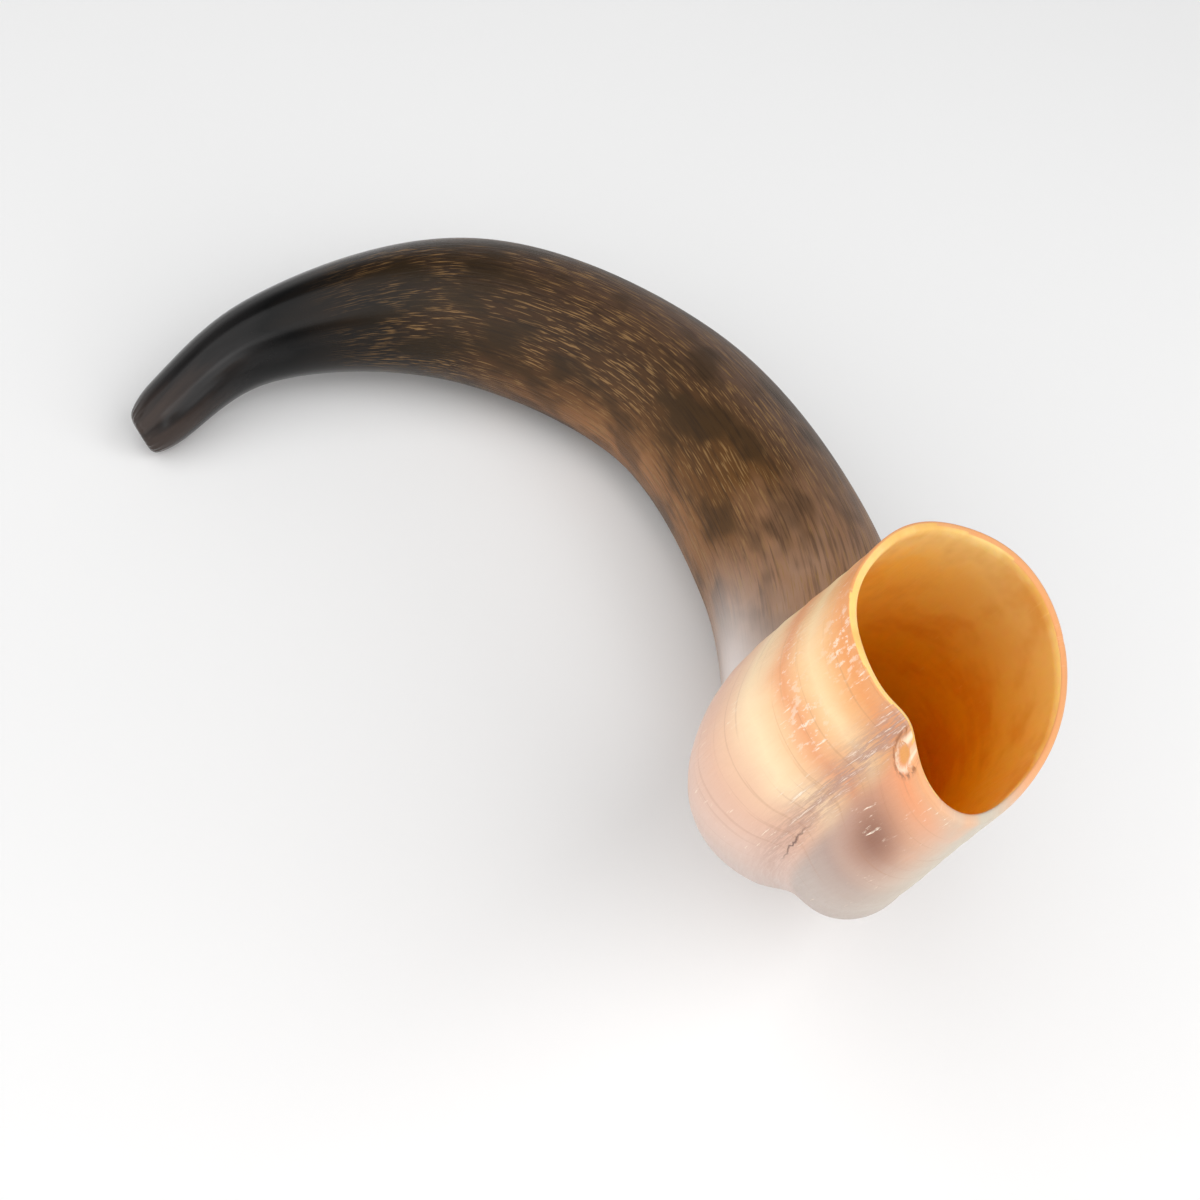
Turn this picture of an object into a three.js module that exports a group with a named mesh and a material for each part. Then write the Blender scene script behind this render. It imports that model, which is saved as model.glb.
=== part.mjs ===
// A hollow buffalo horn, sawn off at its wide end and blunt at its tip.
// Millimetres, +Z up. It lies on its curve, on the plane z = 0, with the open mouth raised.

import * as THREE from 'three';
import { mergeVertices } from 'three/addons/utils/BufferGeometryUtils.js';

// Centreline from the sawn mouth to the tip, with the mean outer radius at each station.
const STATIONS = [
  { name: 'mouth', at: [118.5, -140, 222], radius: 32.5 },
  { name: 'throat', at: [103, -112, 142], radius: 35 },
  { name: 'bend', at: [110, -69, 71], radius: 32.5 },
  { name: 'heel', at: [112.5, -17, 35], radius: 31.5 },
  { name: 'shaft', at: [95.5, 51.5, 32.5], radius: 32 },
  { name: 'crown', at: [41.5, 127, 30], radius: 29.5 },
  { name: 'brow', at: [-37.5, 149, 31], radius: 27 },
  { name: 'neck', at: [-108, 117.5, 24], radius: 15.5 },
  { name: 'tip', at: [-140.5, 77, 6.5], radius: 8.5 },
];

// The mouth was sawn at a slant, and the growth layers near it lie along the cut.
const MOUTH_SLANT = 32.5;
const MOUTH_SLANT_TURN = 186;
const SLANT_REACH = 66;

// The wall is thin at the rim and thickens until the hollow closes.
const RIM_WALL = 2.2;
const HOLLOW_SHARE = 0.67;
const HOLLOW_ROUNDING = 3.5;

// The tip is cut across, a little off square, with its edge worn round.
const TIP_SLANT = 14;
const TIP_SLANT_TURN = 42;
const TIP_SLANT_REACH = 12;
const TIP_WEAR = 0.8;

// The base has a lengthwise crease with a lobe on each side. Turns and spreads are degrees around
// the section, counted from the crease, and the folds die out towards the shaft.
const CREASE_TURN = 304;
const CREASE_TWIST_PER_MM = -0.177;
const FOLDS = [
  { name: 'crease', turn: 0, spread: 13, height: -6.4 },
  { name: 'cheek lobe', turn: 47, spread: 20.5, height: 5.2 },
  { name: 'keel lobe', turn: -40, spread: 27.5, height: 6.4 },
];
const FOLD_REACH = 200;
const FOLD_SHARE_AT_RIM = 0.8;
const FOLD_RISE = 60;

// Away from the folds the base is slightly oval and slightly three-sided, as shares of its radius.
const OVAL = 0.046;
const OVAL_TURN = 159;
const THREE_SIDED = 0.042;
const THREE_SIDED_TURN = 14;

// Facets: steps along the centreline and around the section.
const STEPS = 72;
const HOLLOW_STRIDE = 2;
const HOLLOW_STEPS = HOLLOW_STRIDE * Math.round((STEPS * HOLLOW_SHARE) / HOLLOW_STRIDE);
const AROUND = 44;

const HORN_COLOUR = 0x6b4a33;

const spine = new THREE.CatmullRomCurve3(STATIONS.map(({ at }) => new THREE.Vector3(...at)));
spine.arcLengthDivisions = 600;
const radii = new THREE.SplineCurve(STATIONS.map(({ radius }, index) => new THREE.Vector2(index, radius)));
const length = spine.getLength();
const frames = spine.computeFrenetFrames(STEPS);

function outerRadius(step) {
  return radii.getPoint(spine.getUtoTmapping(step / STEPS)).y;
}

// The hollow narrows like a rounded cone, so the wall thickens towards the solid end.
function innerRadius(step) {
  const depth = step / HOLLOW_STEPS;
  return (outerRadius(step) - RIM_WALL) * Math.sqrt(1 - depth ** HOLLOW_ROUNDING);
}

// Half profile from the hollow's end, along the inside to the rim, and along the outside to the tip's centre.
// Its height counts steps along the centreline.
function profile() {
  const points = [new THREE.Vector2(0, HOLLOW_STEPS)];
  for (let step = HOLLOW_STEPS - HOLLOW_STRIDE; step >= 0; step -= HOLLOW_STRIDE) {
    points.push(new THREE.Vector2(innerRadius(step), step));
  }
  for (let step = 0; step < STEPS; step += 1) {
    points.push(new THREE.Vector2(outerRadius(step), step));
  }
  points.push(new THREE.Vector2(outerRadius(STEPS) * TIP_WEAR, STEPS));
  points.push(new THREE.Vector2(0, STEPS));
  return points;
}

function fade(distance, reach) {
  return Math.exp(-((distance / reach) ** 2));
}

// Smallest turn in degrees between two directions around the section.
function turnBetween(turn, other) {
  return THREE.MathUtils.euclideanModulo(turn - other + 180, 360) - 180;
}

// How much wider or narrower than round the section is at this distance from the mouth and this turn.
function sectionFactor(distance, turn, radius) {
  const reach = fade(distance, FOLD_REACH);
  const oval = OVAL * Math.cos(THREE.MathUtils.degToRad(2 * (turn - OVAL_TURN)));
  const threeSided = THREE_SIDED * Math.cos(THREE.MathUtils.degToRad(3 * (turn - THREE_SIDED_TURN)));
  const rise = THREE.MathUtils.lerp(FOLD_SHARE_AT_RIM, 1, Math.min(distance / FOLD_RISE, 1));
  const creaseTurn = CREASE_TURN + CREASE_TWIST_PER_MM * distance;
  let folds = 0;
  for (const fold of FOLDS) {
    folds += fold.height * fade(turnBetween(turn, creaseTurn + fold.turn), fold.spread);
  }
  return 1 + reach * (oval + threeSided + (rise * folds) / radius);
}

// How far a point at this turn leans along the centreline, for each millimetre from it.
function slant(angle, angleTurn, turn) {
  const lean = Math.tan(THREE.MathUtils.degToRad(angle));
  return lean * Math.cos(THREE.MathUtils.degToRad(turn - angleTurn));
}

// Carry a point of the straight, round horn onto the curved, folded one.
function bend(point) {
  const step = Math.round(point.y);
  const distance = (length * step) / STEPS;
  const angle = Math.atan2(point.x, point.z);
  const turn = THREE.MathUtils.radToDeg(angle);
  const across = Math.hypot(point.x, point.z) * sectionFactor(distance, turn, outerRadius(step));
  const mouthLean = slant(MOUTH_SLANT, MOUTH_SLANT_TURN, turn) * fade(distance, SLANT_REACH);
  const tipLean = slant(TIP_SLANT, TIP_SLANT_TURN, turn) * fade(length - distance, TIP_SLANT_REACH);
  return spine.getPointAt(step / STEPS)
    .addScaledVector(frames.normals[step], across * Math.cos(angle))
    .addScaledVector(frames.binormals[step], across * Math.sin(angle))
    .addScaledVector(frames.tangents[step], across * (mouthLean + tipLean));
}

// Drop the triangles that shrink to a line where the profile meets the centreline.
function withoutSlivers(geometry) {
  const corners = geometry.getIndex().array;
  const kept = [];
  for (let i = 0; i < corners.length; i += 3) {
    const [a, b, c] = corners.slice(i, i + 3);
    if (a !== b && b !== c && c !== a) {
      kept.push(a, b, c);
    }
  }
  geometry.setIndex(kept);
  return geometry;
}

function hornGeometry() {
  const round = new THREE.LatheGeometry(profile(), AROUND);
  round.deleteAttribute('normal');
  round.deleteAttribute('uv');
  const positions = round.getAttribute('position');
  const point = new THREE.Vector3();
  for (let i = 0; i < positions.count; i += 1) {
    const bent = bend(point.fromBufferAttribute(positions, i));
    positions.setXYZ(i, bent.x, bent.y, bent.z);
  }
  return withoutSlivers(mergeVertices(round, 0.001));
}

// Put the middle of the horn's box over the origin and its lowest point on the plane z = 0.
function restOnPlane(geometry) {
  geometry.computeBoundingBox();
  const { min, max } = geometry.boundingBox;
  return geometry.translate(-(min.x + max.x) / 2, -(min.y + max.y) / 2, -min.z);
}

const horn = new THREE.Mesh(
  restOnPlane(hornGeometry()),
  new THREE.MeshStandardMaterial({ color: HORN_COLOUR, roughness: 0.35, metalness: 0 }),
);
horn.name = 'horn';

const group = new THREE.Group();
group.add(horn);

export default group;
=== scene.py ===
# %% [markdown]
# # A polished buffalo horn
# One hollow horn lies on its curve with its sawn mouth raised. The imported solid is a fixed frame. A smooth skin
# is made from a copy of it, and that skin gets the look of real horn: cream growth bands at the base, a scratched
# crease, a brown streaked shaft and a near-black polished tip.

# %% Load the frame
import math
import bpy
import numpy as np
from mathutils import Matrix, Vector
from mathutils.kdtree import KDTree


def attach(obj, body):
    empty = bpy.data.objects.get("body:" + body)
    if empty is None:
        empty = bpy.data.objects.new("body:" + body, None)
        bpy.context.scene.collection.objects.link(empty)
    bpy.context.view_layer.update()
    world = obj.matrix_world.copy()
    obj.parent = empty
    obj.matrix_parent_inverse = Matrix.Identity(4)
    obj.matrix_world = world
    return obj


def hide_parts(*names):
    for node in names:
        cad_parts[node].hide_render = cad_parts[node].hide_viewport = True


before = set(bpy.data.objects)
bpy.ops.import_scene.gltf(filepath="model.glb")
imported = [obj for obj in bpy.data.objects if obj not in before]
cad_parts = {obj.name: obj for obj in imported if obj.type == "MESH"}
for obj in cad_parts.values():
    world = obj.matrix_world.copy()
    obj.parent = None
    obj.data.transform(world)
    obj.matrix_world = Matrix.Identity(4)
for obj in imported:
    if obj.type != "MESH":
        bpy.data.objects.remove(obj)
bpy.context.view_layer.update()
MM = 0.001

# %% [markdown]
# ## Camera
# The picture looks down on the horn at about 49 degrees, and the frame is rolled a little, as a hand-held
# camera is. A 70 mm lens on a 36 mm sensor keeps the near mouth larger than the far shaft.

# %% Camera
CAMERA_PLACE = Vector((32.2, -495.2, 619.6)) * MM
CAMERA_ELEVATION = math.radians(48.75)
CAMERA_ROLL = math.radians(11.7)

bpy.ops.object.select_all(action="DESELECT")
bpy.ops.object.camera_add(location=CAMERA_PLACE)
camera = bpy.context.object
camera.name = "camera"
camera.data.lens = 70
camera.data.sensor_width = 36
pitch = Matrix.Rotation(math.pi / 2 - CAMERA_ELEVATION, 3, "X")
roll = Matrix.Rotation(CAMERA_ROLL, 3, "Z")
camera.rotation_euler = (pitch @ roll).to_euler()
bpy.context.scene.camera = camera
print("camera", tuple(round(v, 3) for v in camera.location))

# %% [markdown]
# ## Smooth skin
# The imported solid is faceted. It could be modelled again by sweeping rings along a curve, but a copy keeps every
# size. The copy is merged, its triangles are paired into quads, and Subdivision Surface rounds it. The sawn rim is
# creased first, so that it stays crisp, and the tip's worn edge isn't. The faces where the rim's knot goes are cut
# finer, because the knot is only a few millimetres wide.

# %% Copy the solid and smooth it
WELD = 0.02 * MM
SHARP_EDGE = math.radians(50)
EDGE_CREASE = 0.8
TIP_CREASE = 0.0
KNOT_PLACE = Vector((88.5, -160, 237)) * MM
KNOT_CUT_SIZE = 13 * MM
TIP_PLACE = Vector((-141.5, 75.5, 6.5)) * MM
TIP_SIZE = 25 * MM
SMOOTHING_LEVELS = 2

bpy.ops.object.select_all(action="DESELECT")
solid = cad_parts["horn"]
solid.select_set(True)
bpy.context.view_layer.objects.active = solid
bpy.ops.object.duplicate()
horn = bpy.context.object
horn.name = "horn_skin"
horn.data.name = "horn_skin"
bpy.ops.object.mode_set(mode="EDIT")
bpy.ops.mesh.select_all(action="SELECT")
bpy.ops.mesh.remove_doubles(threshold=WELD)
bpy.ops.mesh.tris_convert_to_quads(face_threshold=math.pi, shape_threshold=math.pi)
bpy.ops.mesh.select_all(action="DESELECT")
bpy.ops.mesh.select_mode(type="EDGE")
bpy.ops.mesh.edges_select_sharp(sharpness=SHARP_EDGE)
bpy.ops.transform.edge_crease(value=EDGE_CREASE)
bpy.ops.object.mode_set(mode="OBJECT")
creases = horn.data.attributes["crease_edge"].data
for edge in horn.data.edges:
    edge_place = horn.data.vertices[edge.vertices[0]].co
    if edge.select and (edge_place - TIP_PLACE).length < TIP_SIZE:
        creases[edge.index].value = TIP_CREASE
smooth = horn.modifiers.new("smooth skin", "SUBSURF")
smooth.levels = SMOOTHING_LEVELS
smooth.render_levels = SMOOTHING_LEVELS
bpy.ops.object.modifier_apply(modifier=smooth.name)
for face in horn.data.polygons:
    face.select = (face.center - KNOT_PLACE).length < KNOT_CUT_SIZE
bpy.ops.object.mode_set(mode="EDIT")
bpy.ops.mesh.select_mode(type="FACE")
bpy.ops.mesh.subdivide(number_cuts=2)
bpy.ops.object.mode_set(mode="OBJECT")
bpy.ops.object.shade_smooth()
print("skin", len(horn.data.vertices), "points", len(horn.data.polygons), "faces")

# %% [markdown]
# ## Where each point sits on the horn
# Horn grows in layers from the mouth end, so its marks follow the centreline: bands lie across it, fibres run
# along it, and the crease has its own side. A UV map could carry this, but it would need a seam. Instead, each
# point gets its distance from the mouth and its turn around the horn, worked out from the solid's stations.

# %% Centreline
STATIONS = {
    "mouth": (117.5, -141.5, 222),
    "throat": (102, -113.5, 142),
    "bend": (109, -70.5, 71),
    "heel": (111.5, -18.5, 35),
    "shaft": (94.5, 50, 32.5),
    "crown": (40.5, 125.5, 30),
    "brow": (-38.5, 147.5, 31),
    "neck": (-109, 116, 24),
    "tip": (-141.5, 75.5, 6.5),
}
SAMPLES_PER_SPAN = 60


def span(before, start, end, after, share):
    """Points of a smooth curve from start to end, at shares from 0 to 1 (a Catmull-Rom span)."""
    share = share[:, None]
    leave = (end - before) / 2
    arrive = (after - start) / 2
    square = 3 * (end - start) - 2 * leave - arrive
    cube = 2 * (start - end) + leave + arrive
    return start + leave * share + square * share ** 2 + cube * share ** 3


def centreline():
    """Points along the horn's middle in millimetres, with their tangents and distances from the mouth."""
    stations = np.array(list(STATIONS.values()), float)
    first = 2 * stations[0] - stations[1]
    last = 2 * stations[-1] - stations[-2]
    padded = np.vstack([first, stations, last])
    share = np.linspace(0, 1, SAMPLES_PER_SPAN, endpoint=False)
    spans = [span(*padded[i:i + 4], share) for i in range(len(stations) - 1)]
    points = np.vstack(spans + [stations[-1:]])
    tangents = np.gradient(points, axis=0)
    tangents /= np.linalg.norm(tangents, axis=1)[:, None]
    steps = np.linalg.norm(np.diff(points, axis=0), axis=1)
    return points, tangents, np.concatenate([[0], np.cumsum(steps)])


def sideways(tangents):
    """Two directions across the centreline at each point, carried along it without twisting."""
    first = np.cross(tangents[0], np.cross(tangents[0], (1, 0, 0)))
    normals = [first / np.linalg.norm(first)]
    for tangent in tangents[1:]:
        carried = normals[-1] - tangent * (normals[-1] @ tangent)
        normals.append(carried / np.linalg.norm(carried))
    normals = np.array(normals)
    return normals, np.cross(tangents, normals)


middle, tangents, distances = centreline()
normals, binormals = sideways(tangents)
HORN_LENGTH = distances[-1]
print("centreline", round(HORN_LENGTH, 1), "mm")

# %% Distance, turn and side of each point
MOUTH_SLANT = math.radians(32.5)
MOUTH_SLANT_TURN = math.radians(186)
SLANT_REACH = 66
CREASE_TURN = 304
CREASE_TWIST_PER_MM = -0.177
GRAIN_RADIUS = 30
FACING_INWARD = -0.2


def read_points(mesh):
    """The mesh's points in millimetres."""
    flat = np.empty(len(mesh.vertices) * 3)
    mesh.vertices.foreach_get("co", flat)
    return flat.reshape(-1, 3) / MM


def read_normals(mesh):
    """The mesh's point normals."""
    flat = np.empty(len(mesh.vertices) * 3)
    mesh.vertices.foreach_get("normal", flat)
    return flat.reshape(-1, 3)


def nearest_samples(points):
    """For each point, the number of the nearest centreline sample."""
    tree = KDTree(len(middle))
    for number, place in enumerate(middle):
        tree.insert(place, number)
    tree.balance()
    return np.array([tree.find(point)[1] for point in points])


points = read_points(horn.data)
near = nearest_samples(points)
offset = points - middle[near]
ahead = np.einsum("ij,ij->i", offset, tangents[near])
along = distances[near] + ahead
offset -= tangents[near] * ahead[:, None]
right = np.einsum("ij,ij->i", offset, normals[near])
up = np.einsum("ij,ij->i", offset, binormals[near])
around = np.arctan2(up, right)
across = np.hypot(right, up)
slant = np.tan(MOUTH_SLANT) * np.cos(around - MOUTH_SLANT_TURN)
grown = along - across * slant * np.exp(-(np.clip(along, 0, None) / SLANT_REACH) ** 2)
crease_turn = np.degrees(around) - CREASE_TURN - CREASE_TWIST_PER_MM * grown
crease_turn = (crease_turn + 180) % 360 - 180
outward = offset / np.maximum(across, 0.01)[:, None]
inside = np.einsum("ij,ij->i", read_normals(horn.data), outward) < FACING_INWARD
print("inside points", int(inside.sum()), "of", len(points))

# %% [markdown]
# ## Relief
# The real surface isn't even. Growth layers end in low steps near the mouth, the crease is rough, a small knot
# sits on the rim where the crease meets it, and the tip ends full and blunt with a little lip on one side. These
# could be bump in the finish, but moves of the skin's points show in outline as well as in light.

# %% Relief of the skin
STEP_SPACING = 12.5
STEP_HEIGHT = 0.3
BASE_REACH = 110
KNOT_TURN = -8
KNOT_SPREAD = 4.5
KNOT_AT = 3.5
KNOT_LENGTH = 5
KNOT_RING_HEIGHT = 1.5
KNOT_BEAD_HEIGHT = 0.9
CREASE_SPREAD = 9
CREASE_ROUGHNESS = 0.25
WAVE_SEED = 5
WAVE_COUNT = 24
TIP_SWELL = 2.3
TIP_SWELL_REACH = 34
TIP_LIP = 2.0
TIP_LIP_SIDE = np.array((0.80, -0.54, -0.23))
TIP_LIP_REACH = 16
TIP_DOME = 1.5
TIP_SHIFT = 1.6
TIP_RAISE = 2.4
TIP_RADIUS = 9
CENTRE_SPOT = 2


def bump(value, centre, spread):
    """1 at the centre, falling smoothly to 0 over the spread."""
    return np.exp(-((value - centre) / spread) ** 2)


def rise(value, low, high):
    """0 at low, 1 at high and smooth between them; low may be the larger."""
    share = np.clip((value - low) / (high - low), 0, 1)
    return share * share * (3 - 2 * share)


def wander(seed, count):
    """A fixed set of soft waves over the skin, from about -1 to 1."""
    draw = np.random.default_rng(seed)
    total = np.zeros(len(points))
    for _ in range(count):
        turns = draw.integers(3, 40)
        length = draw.uniform(15, 120)
        phase = draw.uniform(0, 2 * math.pi)
        total += np.sin(turns * around + 2 * math.pi * grown / length + phase)
    return total / math.sqrt(count)


outer = ~inside
base = np.exp(-(np.clip(grown, 0, None) / BASE_REACH) ** 4)
layer = (grown + 2.5 * np.sin(2 * around + 1) + 1.5 * np.sin(5 * around)) / STEP_SPACING
share = layer - np.floor(layer)
steps = STEP_HEIGHT * share * np.clip((1 - share) * 5, 0, 1) * np.clip(grown / STEP_SPACING, 0, 1)
knot_off = np.hypot((crease_turn - KNOT_TURN) / KNOT_SPREAD, (grown - KNOT_AT) / KNOT_LENGTH)
knot = KNOT_RING_HEIGHT * bump(knot_off, 1, 0.38) + KNOT_BEAD_HEIGHT * bump(knot_off, 0, 0.55)
crease = bump(crease_turn, 4, CREASE_SPREAD)
rough = CREASE_ROUGHNESS * wander(WAVE_SEED, WAVE_COUNT) * crease
swell = TIP_SWELL * bump(grown, HORN_LENGTH, TIP_SWELL_REACH)
lift = np.where(outer, base * (steps + rough) + knot + swell, 0.0)
points += outward * np.where(across > CENTRE_SPOT, lift, 0.0)[:, None]
tip_side = offset @ TIP_LIP_SIDE / TIP_RADIUS
tip_dome = rise(grown, HORN_LENGTH - 3, HORN_LENGTH) * (1 - np.clip(across / TIP_RADIUS, 0, 1) ** 2)
tip_move = TIP_LIP * tip_side * bump(grown, HORN_LENGTH, TIP_LIP_REACH) + TIP_DOME * tip_dome
points += tangents[near] * np.where(outer, tip_move, 0.0)[:, None]
points += TIP_LIP_SIDE * (TIP_SHIFT * bump(grown, HORN_LENGTH, TIP_SWELL_REACH) * outer)[:, None]
points[:, 2] += TIP_RAISE * bump(grown, HORN_LENGTH, TIP_SWELL_REACH) * outer
points[:, 2] = np.maximum(points[:, 2], 0)
horn.data.vertices.foreach_set("co", (points * MM).ravel())
horn.data.update()
print("relief from", round(lift.min(), 2), "to", round(lift.max(), 2), "mm")

# %% Marks that the finishes read
grain = np.column_stack([np.cos(around) * GRAIN_RADIUS, np.sin(around) * GRAIN_RADIUS, grown])
rim_flakes = bump(crease_turn, 40, 11) * bump(grown, 6, 9)
band_flakes = bump(crease_turn, 29, 8) * bump(grown, 35, 8)
side_flakes = 0.8 * bump(crease_turn, 52, 12) * bump(grown, 36, 6)
marks = {
    "grown": grown,
    "crease": crease * base,
    "keel": rise(crease_turn, -3, -11) * rise(crease_turn, -125, -80),
    "keel_patch": bump(crease_turn, -21, 14) * bump(grown, 35, 17),
    "off_crease": np.clip(crease_turn, -30, 30),
    "ivory": bump(crease_turn, -56, 22) * base,
    "knot_off": np.clip(knot_off, 0, 4),
    "flakes": rim_flakes + band_flakes + side_flakes,
    "inner_side": bump(crease_turn, 116, 27),
    # where the shaft's outer side gets painted sheen
    "painted_sheen_side": bump(crease_turn, -132, 27),
    # where the hollow's lit side gets painted light
    "painted_light_side": bump(crease_turn, -150, 60) + bump(crease_turn, 210, 60),
}


def store(name, values, kind, field):
    """Keep one value, or one vector, for each point of the skin."""
    mark = horn.data.attributes.new(name, kind, "POINT")
    mark.data.foreach_set(field, np.ascontiguousarray(values, dtype=np.float32).ravel())


for name, values in marks.items():
    store(name, values, "FLOAT", "value")
store("grain", grain, "FLOAT_VECTOR", "vector")
print("marks", list(marks), "and grain")

# %% [markdown]
# ## Finishes
# Horn is keratin: slightly glossy, and its colour sits in fibres along its length. A painted image could show
# this, but noise that is stretched along the grain stays sharp at any size. One finish covers the outside, from
# the cream base to the black tip, and another the amber hollow, where thin horn lets light through.

# %% Helpers for node trees


class Finish:
    """A material whose nodes are added by name."""

    def __init__(self, name):
        self.material = bpy.data.materials.new(name)
        self.material.use_nodes = True
        self.nodes = self.material.node_tree.nodes
        self.links = self.material.node_tree.links
        self.shader = self.nodes["Principled BSDF"]

    def put(self, socket, value):
        """Link a socket to a value, or set a plain number or colour on it."""
        if isinstance(value, bpy.types.NodeSocket):
            self.links.new(value, socket)
        else:
            socket.default_value = value

    def mark(self, name, output="Fac"):
        node = self.nodes.new("ShaderNodeAttribute")
        node.attribute_name = name
        return node.outputs[output]

    def math(self, operation, first, second=0.0):
        node = self.nodes.new("ShaderNodeMath")
        node.operation = operation
        self.put(node.inputs[0], first)
        self.put(node.inputs[1], second)
        return node.outputs[0]

    def scaled(self, vector, scale):
        node = self.nodes.new("ShaderNodeVectorMath")
        node.operation = "MULTIPLY"
        self.put(node.inputs[0], vector)
        node.inputs[1].default_value = scale
        return node.outputs[0]

    def noise(self, vector, scale, detail=3.0, rough=0.55):
        node = self.nodes.new("ShaderNodeTexNoise")
        self.put(node.inputs["Vector"], vector)
        node.inputs["Scale"].default_value = scale
        node.inputs["Detail"].default_value = detail
        node.inputs["Roughness"].default_value = rough
        return node.outputs["Fac"]

    def between(self, value, low, high):
        """0 at low, 1 at high, smooth between them; low may be the larger."""
        node = self.nodes.new("ShaderNodeMapRange")
        node.interpolation_type = "SMOOTHSTEP"
        self.put(node.inputs["Value"], value)
        flip = low > high
        node.inputs["From Min"].default_value = min(low, high)
        node.inputs["From Max"].default_value = max(low, high)
        node.inputs["To Min"].default_value = 1.0 if flip else 0.0
        node.inputs["To Max"].default_value = 0.0 if flip else 1.0
        return node.outputs["Result"]

    def patch(self, value, centre, spread):
        """1 at the centre, smoothly 0 past the spread on both sides."""
        away = self.math("ABSOLUTE", self.math("SUBTRACT", value, centre))
        return self.between(away, spread, 0.0)

    def ramp(self, value, stops):
        node = self.nodes.new("ShaderNodeValToRGB")
        elements = node.color_ramp.elements
        while len(elements) < len(stops):
            elements.new(1.0)
        for element, (place, colour) in zip(elements, stops):
            element.position = place
            element.color = (*colour, 1.0)
        self.put(node.inputs["Fac"], value)
        return node.outputs["Color"]

    def blend(self, share, under, over):
        node = self.nodes.new("ShaderNodeMix")
        node.data_type = "RGBA"
        self.put(node.inputs["Factor"], share)
        for name, colour in (("A", under), ("B", over)):
            socket = [s for s in node.inputs if s.name == name and s.type == "RGBA"][0]
            self.put(socket, colour if isinstance(colour, bpy.types.NodeSocket) else (*colour, 1.0))
        return [s for s in node.outputs if s.type == "RGBA"][0]

    def bumpy(self, height, strength, depth):
        node = self.nodes.new("ShaderNodeBump")
        node.inputs["Strength"].default_value = strength
        node.inputs["Distance"].default_value = depth
        self.put(node.inputs["Height"], height)
        self.put(self.shader.inputs["Normal"], node.outputs["Normal"])


# %% [markdown]
# ## Outside finish
# The colour is laid on in the order that it grew and wore: bands along the length, a different run on the keel
# side, fibres and dashes on the shaft, then scratches, flakes, growth lines, the crack and the knot. Painted sheen
# lies on the shaft's outer side and on the tip, and painted shade along the crease.

# %% Outside finish
# Colours along the horn by distance from the mouth in millimetres, as light reflected from 0 to 1.
CHEEK_COLOURS = [
    (0, (0.80, 0.36, 0.14)), (9, (0.84, 0.34, 0.11)), (18, (0.88, 0.47, 0.20)), (26, (0.95, 0.68, 0.38)),
    (32, (0.90, 0.53, 0.26)), (39, (0.83, 0.36, 0.16)), (45, (0.92, 0.58, 0.32)), (53, (0.96, 0.72, 0.45)),
    (62, (0.85, 0.55, 0.36)), (72, (0.78, 0.48, 0.34)), (90, (0.74, 0.51, 0.41)), (120, (0.62, 0.48, 0.42)),
    (190, (0.42, 0.34, 0.30)),
]
KEEL_COLOURS = [
    (0, (0.86, 0.40, 0.18)), (9, (0.93, 0.35, 0.14)), (22, (0.88, 0.41, 0.22)), (45, (0.72, 0.47, 0.36)),
    (62, (0.46, 0.33, 0.28)), (85, (0.50, 0.41, 0.36)), (190, (0.42, 0.34, 0.30)),
]
# The shaft darkens to the black tip. The grey that rises from 590 mm to the end is painted sheen on the polished
# tip.
SHAFT_COLOURS_AND_TIP_SHEEN = [
    (190, (0.42, 0.34, 0.30)), (250, (0.36, 0.23, 0.16)), (290, (0.28, 0.14, 0.07)),
    (320, (0.125, 0.052, 0.011)), (360, (0.085, 0.036, 0.008)), (430, (0.048, 0.020, 0.005)),
    (490, (0.032, 0.015, 0.005)), (525, (0.010, 0.007, 0.005)), (555, (0.002, 0.002, 0.002)),
    (590, (0.016, 0.015, 0.015)), (616, (0.045, 0.032, 0.027)),
]
RAMP_LENGTH = 620
TAN = (0.27, 0.15, 0.055)
FIBRE_DARK = (0.012, 0.006, 0.003)
OLIVE_DARK = (0.022, 0.013, 0.003)
# Scratch wear along the crease, and painted shade of its fold.
CREASE_MAUVE_AND_SHADE = (0.50, 0.29, 0.22)
KEEL_BROWN = (0.30, 0.135, 0.085)
IVORY = (0.60, 0.53, 0.43)
SCRATCH_WHITE = (0.97, 0.84, 0.70)
KNOT_AMBER = (0.80, 0.36, 0.10)
KNOT_PALE = (0.93, 0.70, 0.50)
LINE_BROWN = (0.42, 0.17, 0.07)
CRACK_BROWN = (0.16, 0.07, 0.045)
EDGE_GREY = (0.74, 0.67, 0.64)
INNER_ORANGE = (0.36, 0.16, 0.06)
# Painted sheen: a lighter mauve for the shaft's outer side, standing in for its grazing reflection.
SHEEN_MAUVE = (0.14, 0.085, 0.06)


def along_ramp(colours):
    """Ramp stops from colours given by millimetres."""
    return [(millimetres / RAMP_LENGTH, colour) for millimetres, colour in colours]


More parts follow.
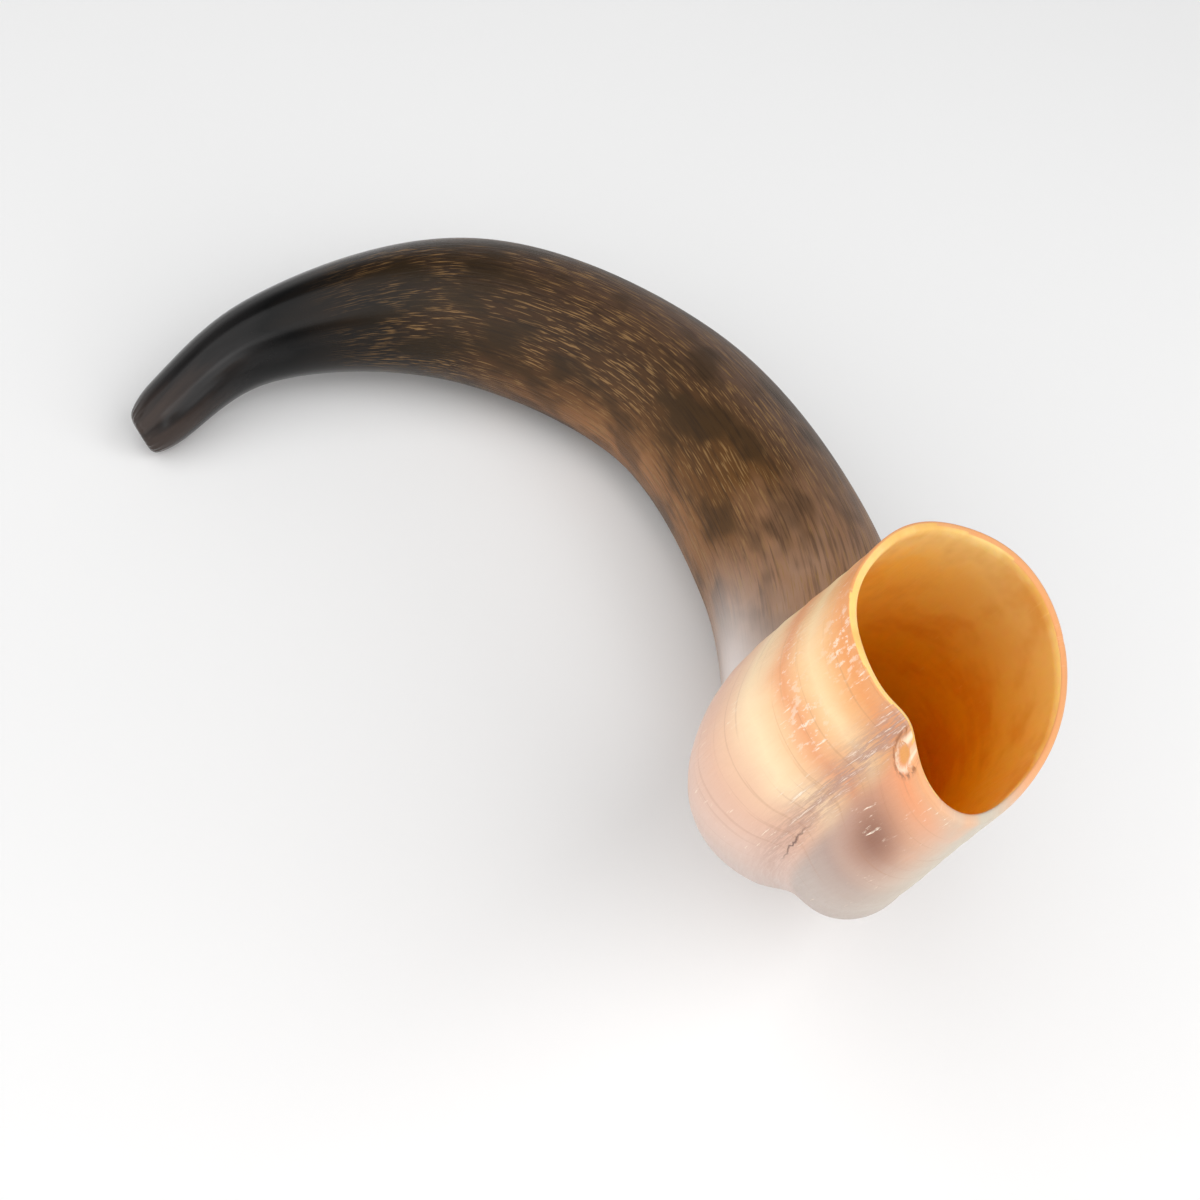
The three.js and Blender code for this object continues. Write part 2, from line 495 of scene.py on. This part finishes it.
def outside_finish():
    finish = Finish("polished horn")
    grown_at = finish.mark("grown")
    grain_at = finish.mark("grain", "Vector")
    cloud = finish.noise(finish.scaled(grain_at, (1, 1, 0.4)), 0.05, 3.0)
    cloud_shift = finish.math("SUBTRACT", cloud, 0.5)
    base_place = finish.math("ADD", grown_at, finish.math("MULTIPLY", cloud_shift, 22.0))
    shaft_place = finish.math("ADD", grown_at, finish.math("MULTIPLY", cloud_shift, 95.0))
    base_part = finish.between(grown_at, 120.0, 80.0)

    cheek = finish.ramp(finish.math("DIVIDE", base_place, RAMP_LENGTH), along_ramp(CHEEK_COLOURS))
    keel = finish.ramp(finish.math("DIVIDE", base_place, RAMP_LENGTH), along_ramp(KEEL_COLOURS))
    base_colour = finish.blend(finish.mark("keel"), cheek, keel)
    # Shaft colours, with painted sheen in the grey at the end of the tip.
    shaft_colour_and_tip_sheen = finish.ramp(finish.math("DIVIDE", shaft_place, RAMP_LENGTH), along_ramp(SHAFT_COLOURS_AND_TIP_SHEEN))
    colour = finish.blend(finish.between(grown_at, 150.0, 210.0), base_colour, shaft_colour_and_tip_sheen)

    inner_side = finish.mark("inner_side")
    orange_edge = finish.math("MULTIPLY", inner_side, finish.patch(shaft_place, 375.0, 115.0))
    colour = finish.blend(finish.math("MULTIPLY", orange_edge, 0.85), colour, INNER_ORANGE)
    # Painted sheen: the shaft's outer side is lightened towards mauve, as its grazing reflection.
    painted_sheen_edge = finish.math("MULTIPLY", finish.mark("painted_sheen_side"), finish.patch(grown_at, 370.0, 150.0))
    colour = finish.blend(finish.math("MULTIPLY", painted_sheen_edge, 0.7), colour, SHEEN_MAUVE)

    fibres = finish.noise(finish.scaled(grain_at, (1, 1, 0.045)), 0.85, 4.0, 0.62)
    dashes = finish.noise(finish.scaled(grain_at, (1, 1, 0.055)), 2.0, 2.0, 0.5)
    clumps = finish.noise(finish.scaled(grain_at, (1, 1, 0.5)), 0.07, 2.0)
    past_bend = finish.between(grown_at, 225.0, 290.0)
    before_tip = finish.between(grown_at, 545.0, 500.0)
    streaked = finish.math("MULTIPLY", past_bend, before_tip)
    dim_share = finish.math("MULTIPLY", finish.between(clumps, 0.55, 0.35), streaked)
    colour = finish.blend(finish.math("MULTIPLY", dim_share, 0.55), colour, OLIVE_DARK)
    dark_share = finish.math("MULTIPLY", finish.between(fibres, 0.54, 0.34), streaked)
    colour = finish.blend(finish.math("MULTIPLY", dark_share, 0.45), colour, FIBRE_DARK)
    dash_share = finish.math("MULTIPLY", finish.between(dashes, 0.54, 0.66), streaked)
    dash_share = finish.math("MULTIPLY", dash_share, finish.between(clumps, 0.36, 0.58))
    colour = finish.blend(finish.math("MULTIPLY", dash_share, 0.85), colour, TAN)

    grey_edge = finish.math("MULTIPLY", inner_side, finish.patch(grown_at, 235.0, 80.0))
    colour = finish.blend(grey_edge, colour, EDGE_GREY)

    ivory_share = finish.math("MULTIPLY", finish.mark("ivory"), finish.between(cloud, 0.20, 0.42))
    colour = finish.blend(ivory_share, colour, IVORY)
    patch_share = finish.math("MULTIPLY", finish.mark("keel_patch"), finish.between(cloud, 0.20, 0.45))
    colour = finish.blend(patch_share, colour, KEEL_BROWN)

    scratches = finish.noise(finish.scaled(grain_at, (1, 1, 0.06)), 1.5, 5.0, 0.7)
    # The crease is laid mauve: its scratches are wear, and the steady share all along it is painted shade of the
    # fold's valley.
    crease_at = finish.mark("crease")
    crease_scratches = finish.math("MULTIPLY", finish.between(scratches, 0.38, 0.56), 0.65)
    crease_scratches_and_shade = finish.math("ADD", crease_scratches, 0.3)
    crease_wear_and_shade_share = finish.math("MULTIPLY", crease_at, crease_scratches_and_shade)
    colour = finish.blend(crease_wear_and_shade_share, colour, CREASE_MAUVE_AND_SHADE)
    scuffs = finish.noise(finish.scaled(grain_at, (1, 1, 0.8)), 0.11, 3.0)
    scuffed_crease = finish.math("MULTIPLY", crease_at, 0.8)
    scuffed = finish.math("MAXIMUM", finish.between(scuffs, 0.54, 0.66), scuffed_crease)
    flakes = finish.noise(finish.scaled(grain_at, (1, 1, 0.25)), 0.9, 5.0, 0.7)
    flake_share = finish.math("MULTIPLY", finish.mark("flakes"), finish.between(flakes, 0.53, 0.60))
    colour = finish.blend(finish.math("MULTIPLY", flake_share, 0.75), colour, SCRATCH_WHITE)
    growth_lines = finish.noise(finish.scaled(grain_at, (0.05, 0.05, 1)), 0.55, 3.0)
    line_share = finish.math("MULTIPLY", finish.between(growth_lines, 0.58, 0.68), base_part)
    colour = finish.blend(finish.math("MULTIPLY", line_share, 0.2), colour, LINE_BROWN)
    scuffed = finish.math("MULTIPLY", scuffed, base_part)
    white_share = finish.math("MULTIPLY", finish.between(scratches, 0.58, 0.66), scuffed)
    colour = finish.blend(white_share, colour, SCRATCH_WHITE)
    crack_wiggle = finish.math("MULTIPLY", finish.noise(grain_at, 0.25, 2.0), 5.0)
    crack_line = finish.patch(finish.math("ADD", finish.mark("off_crease"), crack_wiggle), 2.5, 0.9)
    crack_share = finish.math("MULTIPLY", crack_line, finish.patch(grown_at, 76.0, 20.0))
    colour = finish.blend(crack_share, colour, CRACK_BROWN)
    knot_at = finish.mark("knot_off")
    knot_crumbs = finish.between(finish.noise(grain_at, 0.8, 3.0), 0.38, 0.56)
    knot_outline = finish.math("MULTIPLY", finish.patch(knot_at, 1.55, 0.45), knot_crumbs)
    colour = finish.blend(knot_outline, colour, LINE_BROWN)
    knot_border = finish.math("MULTIPLY", finish.patch(knot_at, 1.0, 0.45), knot_crumbs)
    colour = finish.blend(knot_border, colour, KNOT_PALE)
    colour = finish.blend(finish.between(knot_at, 0.75, 0.5), colour, KNOT_AMBER)
    finish.put(finish.shader.inputs["Base Color"], colour)

    worn = finish.math("MULTIPLY", scratches, 0.35)
    polish = finish.between(grown_at, 430.0, 545.0)
    roughness = finish.math("SUBTRACT", finish.math("ADD", worn, 0.26), finish.math("MULTIPLY", polish, 0.28))
    finish.put(finish.shader.inputs["Roughness"], finish.math("MAXIMUM", roughness, 0.2))
    finish.shader.inputs["IOR"].default_value = 1.54
    finish.shader.inputs["Specular IOR Level"].default_value = 0.2
    unpolished = finish.between(grown_at, 545.0, 470.0)
    height = finish.math("MULTIPLY", finish.math("ADD", fibres, scratches), unpolished)
    finish.bumpy(height, 0.3, 0.0006)
    return finish.material


# %% [markdown]
# ## Hollow finish
# The hollow is amber all through and palest near the rim, with painted light making it paler on its lit side
# near the mouth. Light enters the thin wall and comes out again nearby, which subsurface scattering does and
# plain colour doesn't.

# %% Hollow finish
AMBER_DEEP = (0.97, 0.38, 0.02)
AMBER = (0.97, 0.42, 0.07)
# Pale amber for the rim and the fibres, and for the painted light on the hollow's lit side.
PALE_AMBER_AND_LIT_WALL = (0.98, 0.58, 0.24)
AMBER_BROWN = (0.72, 0.24, 0.01)


def hollow_finish():
    finish = Finish("amber hollow")
    grown_at = finish.mark("grown")
    grain_at = finish.mark("grain", "Vector")
    cloud = finish.noise(finish.scaled(grain_at, (1, 1, 0.6)), 0.06, 3.0)
    drift = finish.math("MULTIPLY", finish.math("SUBTRACT", cloud, 0.5), 70.0)
    depth = finish.math("DIVIDE", finish.math("ADD", grown_at, drift), 160.0)
    colour = finish.ramp(depth, [(0.0, PALE_AMBER_AND_LIT_WALL), (0.16, AMBER), (0.6, AMBER_DEEP), (1.0, AMBER_DEEP)])
    # Painted light: the hollow's wall is painted paler on the side where the light falls, near the mouth.
    painted_light_share = finish.math("MULTIPLY", finish.mark("painted_light_side"), finish.between(grown_at, 75.0, 5.0))
    colour = finish.blend(finish.math("MULTIPLY", painted_light_share, 0.85), colour, PALE_AMBER_AND_LIT_WALL)
    brown_share = finish.math("MULTIPLY", finish.between(cloud, 0.58, 0.34), 0.55)
    colour = finish.blend(brown_share, colour, AMBER_BROWN)
    fibres = finish.noise(finish.scaled(grain_at, (1, 1, 0.06)), 1.1, 4.0, 0.6)
    fibre_share = finish.math("MULTIPLY", finish.between(fibres, 0.60, 0.75), 0.35)
    colour = finish.blend(fibre_share, colour, PALE_AMBER_AND_LIT_WALL)
    finish.put(finish.shader.inputs["Base Color"], colour)
    roughness = finish.math("ADD", finish.math("MULTIPLY", fibres, 0.3), 0.35)
    finish.put(finish.shader.inputs["Roughness"], roughness)
    finish.shader.inputs["IOR"].default_value = 1.54
    finish.shader.inputs["Specular IOR Level"].default_value = 0.2
    finish.shader.inputs["Subsurface Weight"].default_value = 0.45
    finish.shader.inputs["Subsurface Radius"].default_value = (0.03, 0.012, 0.002)
    finish.shader.inputs["Subsurface Scale"].default_value = 1.0
    finish.bumpy(fibres, 0.2, 0.0005)
    return finish.material


# %% Give each face its finish
MOST_CORNERS_INSIDE = 2.5

horn.data.materials.clear()
horn.data.materials.append(outside_finish())
horn.data.materials.append(hollow_finish())
corners = np.empty(len(horn.data.loops), dtype=np.int64)
horn.data.loops.foreach_get("vertex_index", corners)
starts = np.array([face.loop_start for face in horn.data.polygons])
face_inside = np.add.reduceat(inside[corners].astype(float), starts) > MOST_CORNERS_INSIDE
horn.data.polygons.foreach_set("material_index", face_inside.astype(np.int32))
horn.data.update()
print("hollow faces", int(face_inside.sum()))

# %% [markdown]
# ## Tie the skin to the frame
# The skin stands for the solid, so the solid is hidden but still carries the weight and the contacts. With no
# joints, everything rides on the one body.

# %% Tie the skin to the frame
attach(horn, "root")
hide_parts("horn")
print("rides on root, replaces", "horn")

# %% [markdown]
# ## Floor and light
# The horn lies in a bright white studio on a pale floor. The sky is bright near the floor and dim overhead, so
# that the dark horn isn't veiled by reflections. One large soft lamp shapes the lobes from the upper left, and a
# second one shines into the mouth.

# %% Floor
FLOOR_SIZE = 12
bpy.ops.object.select_all(action="DESELECT")
bpy.ops.mesh.primitive_plane_add(size=FLOOR_SIZE, location=(0, 0, 0))
floor = bpy.context.object
floor.name = "floor"
paper = Finish("white paper")
paper_place = paper.nodes.new("ShaderNodeTexCoord").outputs["Object"]
paper_cloud = paper.noise(paper_place, 3.0, 2.0)
paper_colour = paper.ramp(paper_cloud, [(0.0, (0.96, 0.96, 0.96)), (1.0, (0.98, 0.98, 0.98))])
paper.put(paper.shader.inputs["Base Color"], paper_colour)
paper.shader.inputs["Roughness"].default_value = 0.9
floor.data.materials.append(paper.material)
print("floor", FLOOR_SIZE, "m")

# %% Light
SKY_LOW = 0.9
SKY_HIGH = 0.16
SKY_LOW_TOP = 0.22
SKY_HIGH_START = 0.5
LAMPS = {
    "left lamp": {"place": (-0.9, -0.9, 1.5), "size": 3.2, "power": 40},
    "mouth lamp": {"place": (1.05, -0.55, 1.15), "size": 1.6, "power": 16},
}

world = bpy.data.worlds.new("white studio")
world.use_nodes = True
sky = world.node_tree
direction = sky.nodes.new("ShaderNodeTexCoord")
parts = sky.nodes.new("ShaderNodeSeparateXYZ")
shade = sky.nodes.new("ShaderNodeMapRange")
shade.inputs["From Min"].default_value = SKY_LOW_TOP
shade.inputs["From Max"].default_value = SKY_HIGH_START
shade.inputs["To Min"].default_value = SKY_LOW
shade.inputs["To Max"].default_value = SKY_HIGH
sky.links.new(direction.outputs["Generated"], parts.inputs["Vector"])
sky.links.new(parts.outputs["Z"], shade.inputs["Value"])
sky.links.new(shade.outputs["Result"], sky.nodes["Background"].inputs["Strength"])
sky.nodes["Background"].inputs["Color"].default_value = (1.0, 1.0, 1.0, 1.0)
bpy.context.scene.world = world
for name, lamp_values in LAMPS.items():
    place = Vector(lamp_values["place"])
    bpy.ops.object.light_add(type="AREA", location=place)
    lamp = bpy.context.object
    lamp.name = name
    lamp.data.size = lamp_values["size"]
    lamp.data.energy = lamp_values["power"]
    lamp.rotation_euler = (-place).to_track_quat("-Z", "Y").to_euler()
bpy.context.scene.view_settings.view_transform = "Standard"
print("lamps", list(LAMPS))
